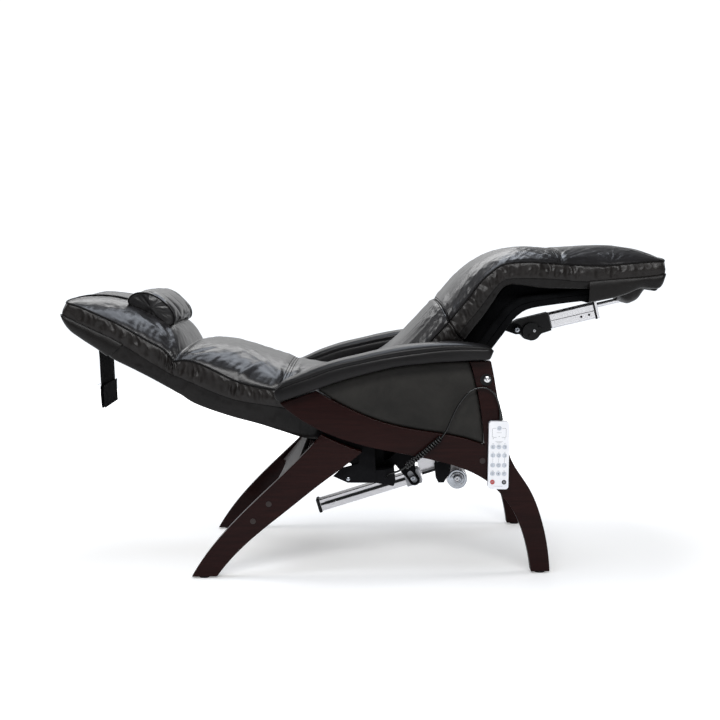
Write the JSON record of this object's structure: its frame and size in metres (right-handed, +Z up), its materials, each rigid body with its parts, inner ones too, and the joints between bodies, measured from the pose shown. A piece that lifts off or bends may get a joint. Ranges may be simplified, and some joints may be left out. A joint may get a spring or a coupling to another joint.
{
  "type": "zero gravity recliner",
  "caption": "Powered zero gravity recliner with bent wooden side frames, a leather cradle that tilts, a folding leg rest, neck pillow and corded handset.",
  "frame": {"origin": "on the floor under the middle of the reclined chair", "axes": "+X towards the feet, +Y towards the sitter's left, +Z up"},
  "size_m": [1.8008, 0.796, 0.966],
  "materials": {
    "wood": "satin espresso stain over open grain",
    "cushion_leather": "soft semi-gloss dark brown leather",
    "panel_leather": "mottled charcoal leather, semi-matte",
    "arm_leather": "smooth black leather, satin",
    "black_fabric": "matte black woven fabric",
    "glide_plastic": "matte",
    "black_steel": "black powder coat",
    "plywood": "dark stained plywood",
    "aluminium": "satin anodised",
    "black_plastic": "fine moulded texture",
    "zinc": "bright zinc plate",
    "cord_rubber": "matte black cable jacket",
    "handset_white": "satin white",
    "handset_grey": "satin grey",
    "button_grey": "satin",
    "button_red": "gloss",
    "button_black": "gloss"
  },
  "bodies": {
    "base": {"side_frame_right": "wood", "side_frame_left": "wood", "rear_leg_right": "wood", "rear_leg_left": "wood", "side_panel_right": "panel_leather", "side_panel_left": "panel_leather", "armrest_right": "arm_leather", "armrest_left": "arm_leather", "rear_stretcher": "wood", "wood_plugs": "wood", "foot_glides": "glide_plastic", "side_bracket_right": "black_steel", "side_bracket_left": "black_steel", "frame_bolts": "black_steel", "motor_crossbar": "black_steel", "control_box": "black_plastic", "drive_rail": "aluminium", "drive_motor": "zinc", "handset_back": "handset_grey", "handset_front": "handset_white", "cord_relief": "black_plastic", "handset_cord": "cord_rubber", "curly_cord": "cord_rubber", "cord_tail": "cord_rubber", "remote_hook": "black_plastic"},
    "cradle": {"cradle_rail_right": "black_steel", "cradle_rail_left": "black_steel", "cradle_crossbars": "black_steel", "body_board": "plywood", "head_pad": "cushion_leather", "back_pad": "cushion_leather", "seat_pad": "cushion_leather", "pillow_strap": "cushion_leather", "lever_bracket": "black_steel", "leg_motor_bracket": "black_steel"},
    "carriage": {"carriage": "aluminium"},
    "leg_rest": {"leg_rail_right": "black_steel", "leg_rail_left": "black_steel", "leg_crossbars": "black_steel", "leg_pad": "cushion_leather"},
    "leg_drive": {"leg_gearbox": "black_plastic", "leg_tube": "aluminium"},
    "leg_rod": {"leg_rod": "black_steel"},
    "pillow": {"pillow": "cushion_leather"},
    "pillow_flap": {"pillow_flap": "black_fabric"},
    "button_01": {"button_01": "button_grey"},
    "button_02": {"button_02": "button_grey"},
    "button_03": {"button_03": "button_grey"},
    "button_04": {"button_04": "button_grey"},
    "button_05": {"button_05": "button_grey"},
    "button_06": {"button_06": "button_grey"},
    "button_07": {"button_07": "button_grey"},
    "button_08": {"button_08": "button_grey"},
    "button_09": {"button_09": "button_grey"},
    "button_10": {"button_10": "button_grey"},
    "button_11": {"button_11": "button_grey"},
    "button_12": {"button_12": "button_grey"},
    "button_13": {"button_13": "button_grey"},
    "button_14": {"button_14": "button_red"},
    "button_15": {"button_15": "button_black"}
  },
  "joints": [
    {"name": "tilt", "type": "hinge", "parent": "base", "child": "cradle", "pos_m": [-0.047, 0, 0.533], "axis": [0, 1, 0], "range_deg": [0, 38]},
    {"name": "carriage_travel", "type": "slide", "parent": "base", "child": "carriage", "axis": [-0.96, 0, -0.28], "range_m": [0, 0.236]},
    {"name": "leg_fold", "type": "hinge", "parent": "cradle", "child": "leg_rest", "pos_m": [0.447, 0, 0.773], "axis": [0, 1, 0], "range_deg": [0, 45]},
    {"name": "leg_drive_turn", "type": "hinge", "parent": "cradle", "child": "leg_drive", "pos_m": [0.486, 0, 0.706], "axis": [0, 1, 0], "range_deg": [0, 51]},
    {"name": "leg_rod_travel", "type": "slide", "parent": "leg_drive", "child": "leg_rod", "axis": [0.977, 0, 0.213], "range_m": [-0.043, 0]},
    {"name": "pillow_slide", "type": "slide", "parent": "cradle", "child": "pillow", "axis": [-0.75, 0, 0.6614], "range_m": [0, 0.05]},
    {"name": "flap_swing", "type": "hinge", "parent": "cradle", "child": "pillow_flap", "pos_m": [-0.832, 0, 0.705], "axis": [0, 1, 0], "range_deg": [-38, 0]},
    {"name": "button_01_press", "type": "slide", "parent": "base", "child": "button_01", "axis": [0, 1, 0], "range_m": [0, 0.0008], "stiffness_N_per_m": 400},
    {"name": "button_02_press", "type": "slide", "parent": "base", "child": "button_02", "axis": [0, 1, 0], "range_m": [0, 0.0008], "stiffness_N_per_m": 400},
    {"name": "button_03_press", "type": "slide", "parent": "base", "child": "button_03", "axis": [0, 1, 0], "range_m": [0, 0.0008], "stiffness_N_per_m": 400},
    {"name": "button_04_press", "type": "slide", "parent": "base", "child": "button_04", "axis": [0, 1, 0], "range_m": [0, 0.0008], "stiffness_N_per_m": 400},
    {"name": "button_05_press", "type": "slide", "parent": "base", "child": "button_05", "axis": [0, 1, 0], "range_m": [0, 0.0008], "stiffness_N_per_m": 400},
    {"name": "button_06_press", "type": "slide", "parent": "base", "child": "button_06", "axis": [0, 1, 0], "range_m": [0, 0.0008], "stiffness_N_per_m": 400},
    {"name": "button_07_press", "type": "slide", "parent": "base", "child": "button_07", "axis": [0, 1, 0], "range_m": [0, 0.0008], "stiffness_N_per_m": 400},
    {"name": "button_08_press", "type": "slide", "parent": "base", "child": "button_08", "axis": [0, 1, 0], "range_m": [0, 0.0008], "stiffness_N_per_m": 400},
    {"name": "button_09_press", "type": "slide", "parent": "base", "child": "button_09", "axis": [0, 1, 0], "range_m": [0, 0.0008], "stiffness_N_per_m": 400},
    {"name": "button_10_press", "type": "slide", "parent": "base", "child": "button_10", "axis": [0, 1, 0], "range_m": [0, 0.0008], "stiffness_N_per_m": 400},
    {"name": "button_11_press", "type": "slide", "parent": "base", "child": "button_11", "axis": [0, 1, 0], "range_m": [0, 0.0008], "stiffness_N_per_m": 400},
    {"name": "button_12_press", "type": "slide", "parent": "base", "child": "button_12", "axis": [0, 1, 0], "range_m": [0, 0.0008], "stiffness_N_per_m": 400},
    {"name": "button_13_press", "type": "slide", "parent": "base", "child": "button_13", "axis": [0, 1, 0], "range_m": [0, 0.0008], "stiffness_N_per_m": 400},
    {"name": "button_14_press", "type": "slide", "parent": "base", "child": "button_14", "axis": [0, 1, 0], "range_m": [0, 0.0008], "stiffness_N_per_m": 400},
    {"name": "button_15_press", "type": "slide", "parent": "base", "child": "button_15", "axis": [0, 1, 0], "range_m": [0, 0.0008], "stiffness_N_per_m": 400}
  ],
  "couplings": [
    {"joint": "carriage_travel", "follows": "tilt", "m_per_rad": 0.35375},
    {"joint": "flap_swing", "follows": "tilt", "ratio": -1},
    {"joint": "leg_drive_turn", "follows": "leg_fold", "ratio": 1.1309},
    {"joint": "leg_rod_travel", "follows": "leg_fold", "m_per_rad": -0.05322}
  ]
}
